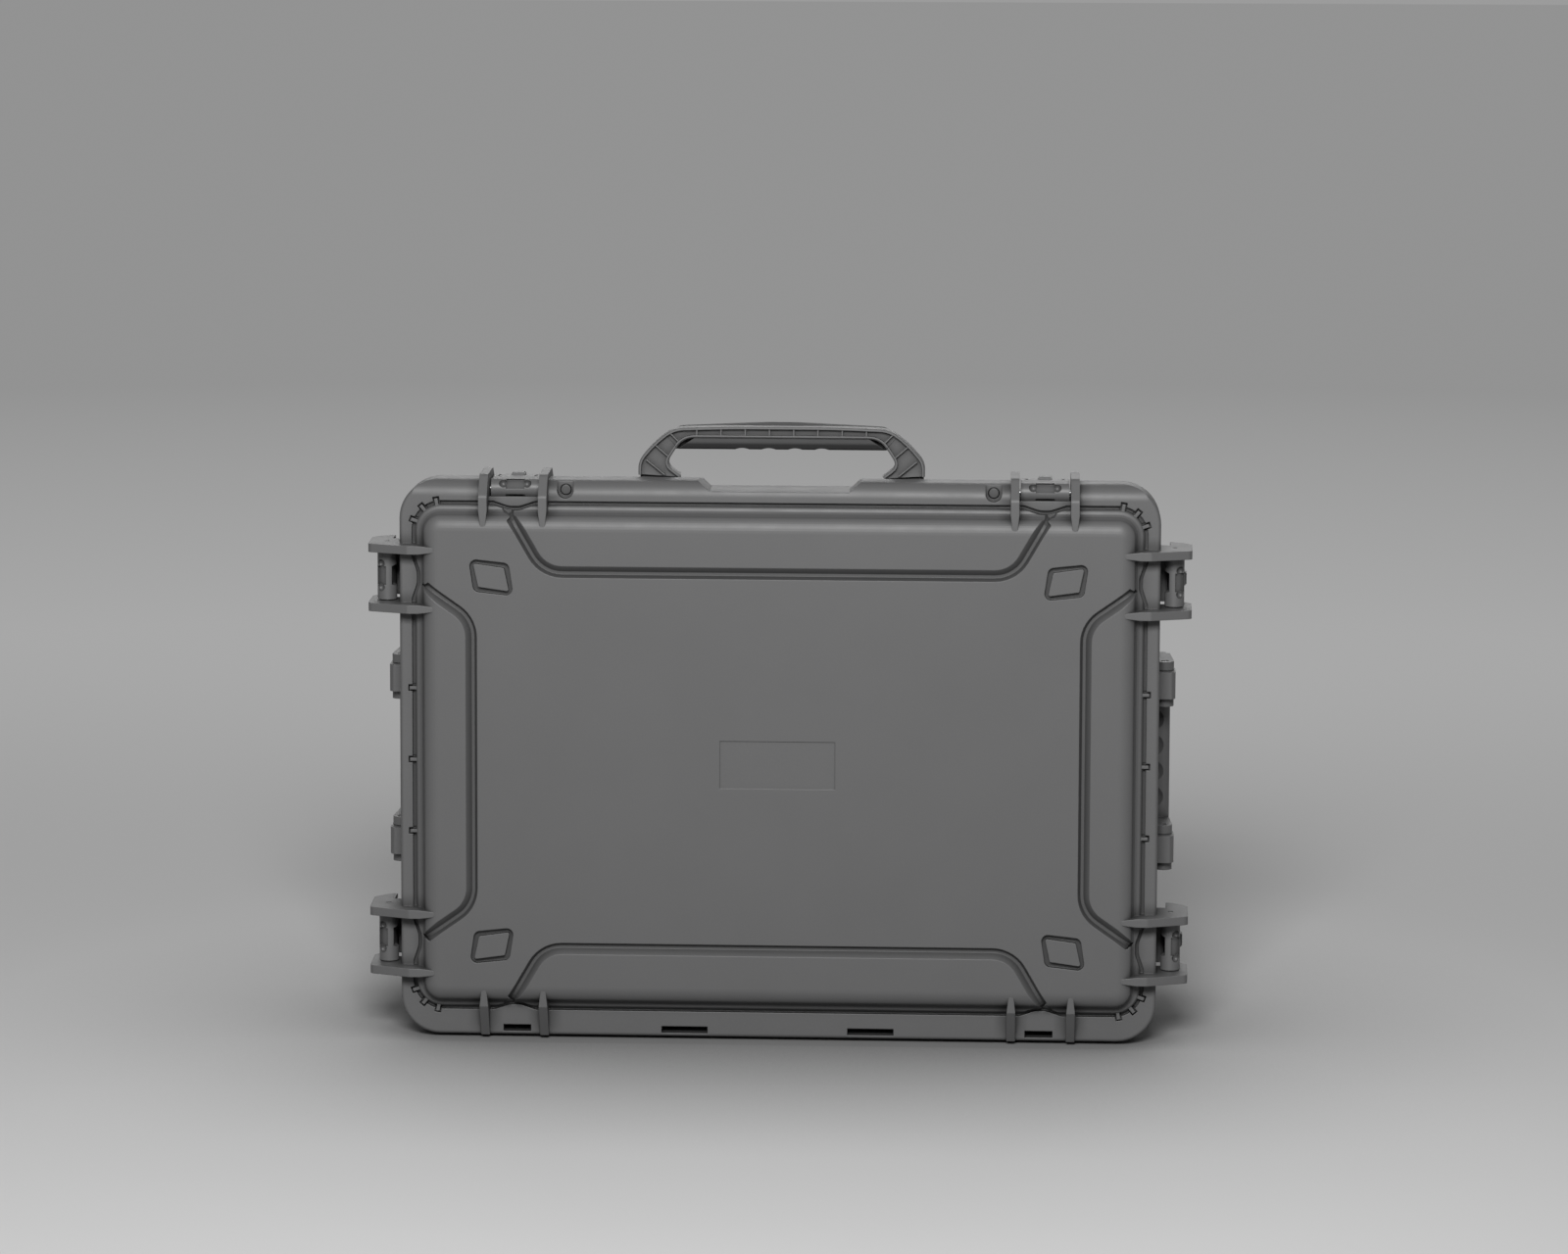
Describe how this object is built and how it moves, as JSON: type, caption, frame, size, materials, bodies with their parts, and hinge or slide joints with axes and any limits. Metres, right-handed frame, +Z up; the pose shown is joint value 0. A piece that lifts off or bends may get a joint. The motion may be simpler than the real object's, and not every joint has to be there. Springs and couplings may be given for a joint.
{
  "type": "laptop hard case",
  "caption": "Waterproof moulded laptop case with a hinged lid, press-and-pull latches, a folding carrying handle, folding side handles and a foam lining.",
  "frame": {"origin": "centre of the bounding box on the floor plane", "axes": "+Z up as the case stands on its hinge side, -Y out of the lid's front face, +X along the width"},
  "size_m": [0.6292, 0.2, 0.4733],
  "materials": {
    "shell": "fine moulded texture",
    "latch": "satin moulded",
    "handle": "fine moulded texture",
    "grip": "soft matte",
    "seal": "matte",
    "feet": "matte",
    "pin": "brushed",
    "foam": "open-cell foam"
  },
  "bodies": {
    "base": {"base_shell": "shell", "base_foam": "foam", "side_handle_brackets": "handle", "side_handle_pins": "pin", "handle_pins": "pin", "relief_valve": "latch", "rubber_feet": "feet"},
    "lid": {"lid_shell": "shell", "lid_seal": "seal", "lid_foam": "foam", "hinge_pins": "pin", "latch_pins": "pin"},
    "latch_top_left": {"latch_top_left": "latch", "button_spring_top_left": "pin"},
    "button_top_left": {"latch_button_top_left": "latch"},
    "latch_top_right": {"latch_top_right": "latch", "button_spring_top_right": "pin"},
    "button_top_right": {"latch_button_top_right": "latch"},
    "latch_left_upper": {"latch_left_upper": "latch", "button_spring_left_upper": "pin"},
    "button_left_upper": {"latch_button_left_upper": "latch"},
    "latch_left_lower": {"latch_left_lower": "latch", "button_spring_left_lower": "pin"},
    "button_left_lower": {"latch_button_left_lower": "latch"},
    "latch_right_upper": {"latch_right_upper": "latch", "button_spring_right_upper": "pin"},
    "button_right_upper": {"latch_button_right_upper": "latch"},
    "latch_right_lower": {"latch_right_lower": "latch", "button_spring_right_lower": "pin"},
    "button_right_lower": {"latch_button_right_lower": "latch"},
    "carry_handle": {"handle_frame": "handle", "handle_grip": "grip"},
    "side_handle_left": {"side_handle_left": "handle"},
    "side_handle_right": {"side_handle_right": "handle"}
  },
  "joints": [
    {"name": "lid_hinge", "type": "hinge", "parent": "base", "child": "lid", "pos_m": [0, -0.051, 0.0095], "axis": [1, 0, 0], "range_deg": [0, 100]},
    {"name": "latch_top_left_pivot", "type": "hinge", "parent": "lid", "child": "latch_top_left", "pos_m": [-0.202, -0.069, 0.4253], "axis": [1, 0, 0], "range_deg": [0, 100]},
    {"name": "button_top_left_press", "type": "slide", "parent": "latch_top_left", "child": "button_top_left", "axis": [0, 0, -1], "range_m": [0, 0.002], "stiffness_N_per_m": 300, "springref_m": -0.001},
    {"name": "latch_top_right_pivot", "type": "hinge", "parent": "lid", "child": "latch_top_right", "pos_m": [0.202, -0.069, 0.4253], "axis": [1, 0, 0], "range_deg": [0, 100]},
    {"name": "button_top_right_press", "type": "slide", "parent": "latch_top_right", "child": "button_top_right", "axis": [0, 0, -1], "range_m": [0, 0.002], "stiffness_N_per_m": 300, "springref_m": -0.001},
    {"name": "latch_left_upper_pivot", "type": "hinge", "parent": "lid", "child": "latch_left_upper", "pos_m": [-0.301, -0.069, 0.3578], "axis": [0, 0, 1], "range_deg": [0, 100]},
    {"name": "button_left_upper_press", "type": "slide", "parent": "latch_left_upper", "child": "button_left_upper", "axis": [1, 0, 0], "range_m": [0, 0.002], "stiffness_N_per_m": 300, "springref_m": -0.001},
    {"name": "latch_left_lower_pivot", "type": "hinge", "parent": "lid", "child": "latch_left_lower", "pos_m": [-0.301, -0.069, 0.0762], "axis": [0, 0, 1], "range_deg": [0, 100]},
    {"name": "button_left_lower_press", "type": "slide", "parent": "latch_left_lower", "child": "button_left_lower", "axis": [1, 0, 0], "range_m": [0, 0.002], "stiffness_N_per_m": 300, "springref_m": -0.001},
    {"name": "latch_right_upper_pivot", "type": "hinge", "parent": "lid", "child": "latch_right_upper", "pos_m": [0.301, -0.069, 0.3578], "axis": [0, 0, -1], "range_deg": [0, 100]},
    {"name": "button_right_upper_press", "type": "slide", "parent": "latch_right_upper", "child": "button_right_upper", "axis": [-1, 0, 0], "range_m": [0, 0.002], "stiffness_N_per_m": 300, "springref_m": -0.001},
    {"name": "latch_right_lower_pivot", "type": "hinge", "parent": "lid", "child": "latch_right_lower", "pos_m": [0.301, -0.069, 0.0762], "axis": [0, 0, -1], "range_deg": [0, 100]},
    {"name": "button_right_lower_press", "type": "slide", "parent": "latch_right_lower", "child": "button_right_lower", "axis": [-1, 0, 0], "range_m": [0, 0.002], "stiffness_N_per_m": 300, "springref_m": -0.001},
    {"name": "handle_fold", "type": "hinge", "parent": "base", "child": "carry_handle", "pos_m": [0, -0.03, 0.422], "axis": [-1, 0, 0], "range_deg": [0, 85]},
    {"name": "side_handle_left_swing", "type": "hinge", "parent": "base", "child": "side_handle_left", "pos_m": [-0.296, -0.022, 0.208], "axis": [0, 0, 1], "range_deg": [0, 90]},
    {"name": "side_handle_right_swing", "type": "hinge", "parent": "base", "child": "side_handle_right", "pos_m": [0.296, -0.022, 0.208], "axis": [0, 0, -1], "range_deg": [0, 90]}
  ]
}
